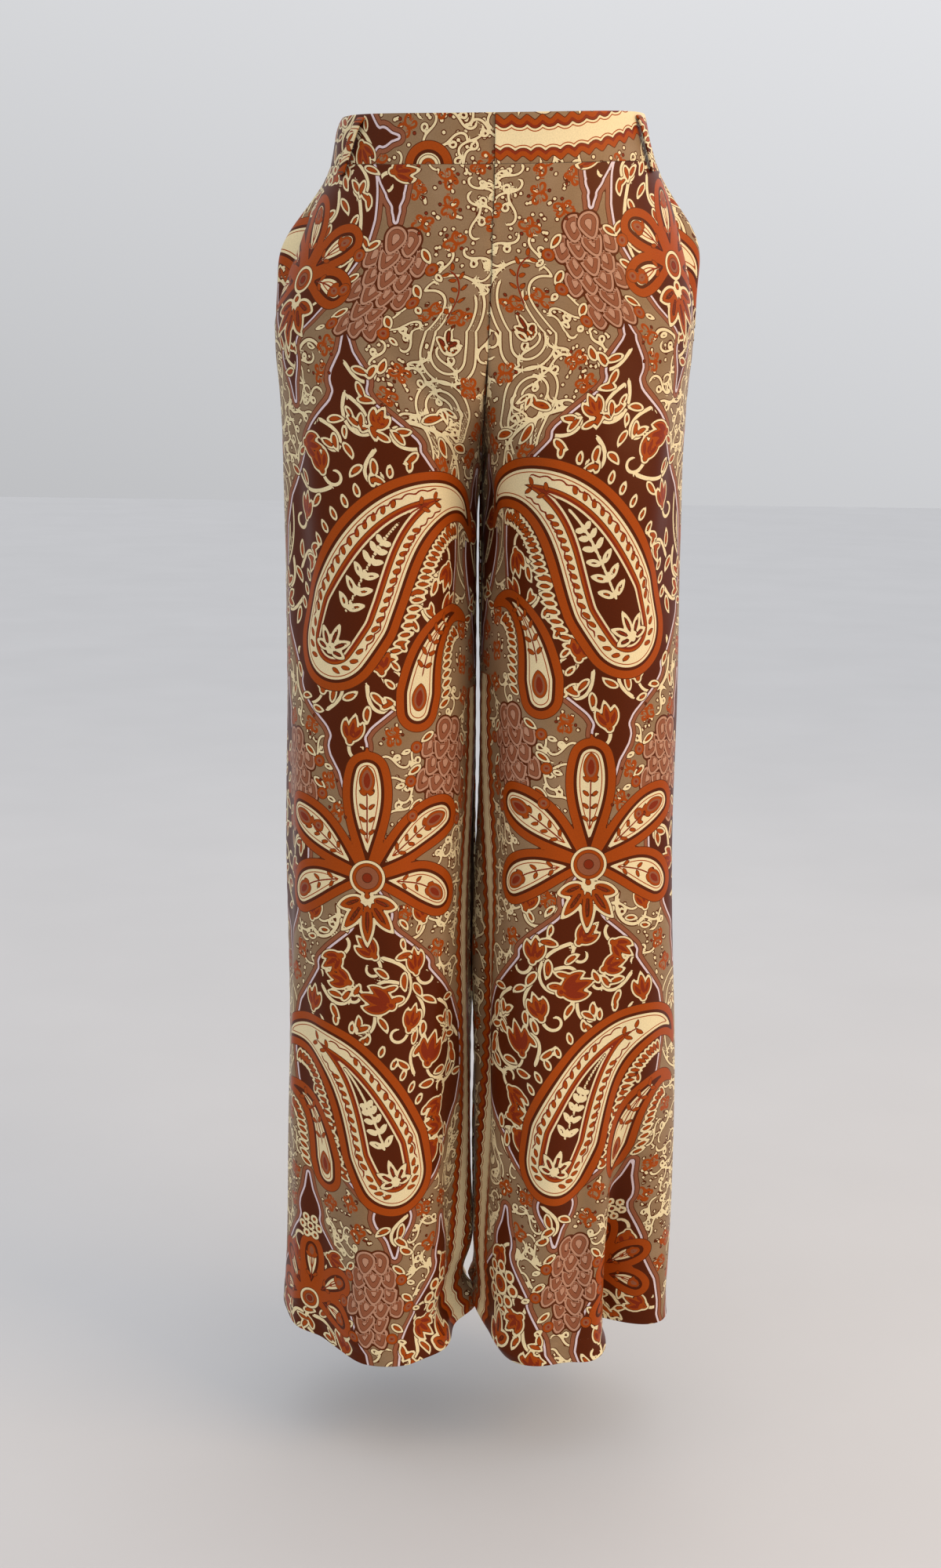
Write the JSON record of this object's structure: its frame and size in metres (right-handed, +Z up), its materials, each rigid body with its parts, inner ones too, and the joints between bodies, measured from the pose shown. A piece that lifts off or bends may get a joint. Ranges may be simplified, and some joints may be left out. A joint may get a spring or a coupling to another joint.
{
  "type": "straight-leg trousers",
  "caption": "High-waisted straight-leg printed trousers in hollow worn form, with a fly front, side pockets, waistband and belt loops.",
  "frame": {"origin": "centre of the waistband's ring at half its height, where a waist holds the garment", "axes": "+Z up along the legs, -Y towards the front, +X towards the wearer's left"},
  "size_m": [0.3562, 0.2395, 1.0803],
  "materials": {
    "printed_satin": "printed flowing satin, soft sheen",
    "waistband_satin": "printed satin, interfaced, soft sheen",
    "pocketing": "plain woven pocketing, matt"
  },
  "bodies": {
    "root": {"front_right": "printed_satin", "front_left": "printed_satin", "back_right": "printed_satin", "back_left": "printed_satin", "pocket_bag_right": "pocketing", "pocket_bag_left": "pocketing", "pocket_facing_right": "printed_satin", "pocket_facing_left": "printed_satin", "fly_underlap": "printed_satin", "waistband_right": "waistband_satin", "waistband_left": "waistband_satin", "belt_loop_right": "waistband_satin", "belt_loop_left": "waistband_satin", "belt_loop_back": "waistband_satin"}
  },
  "joints": []
}
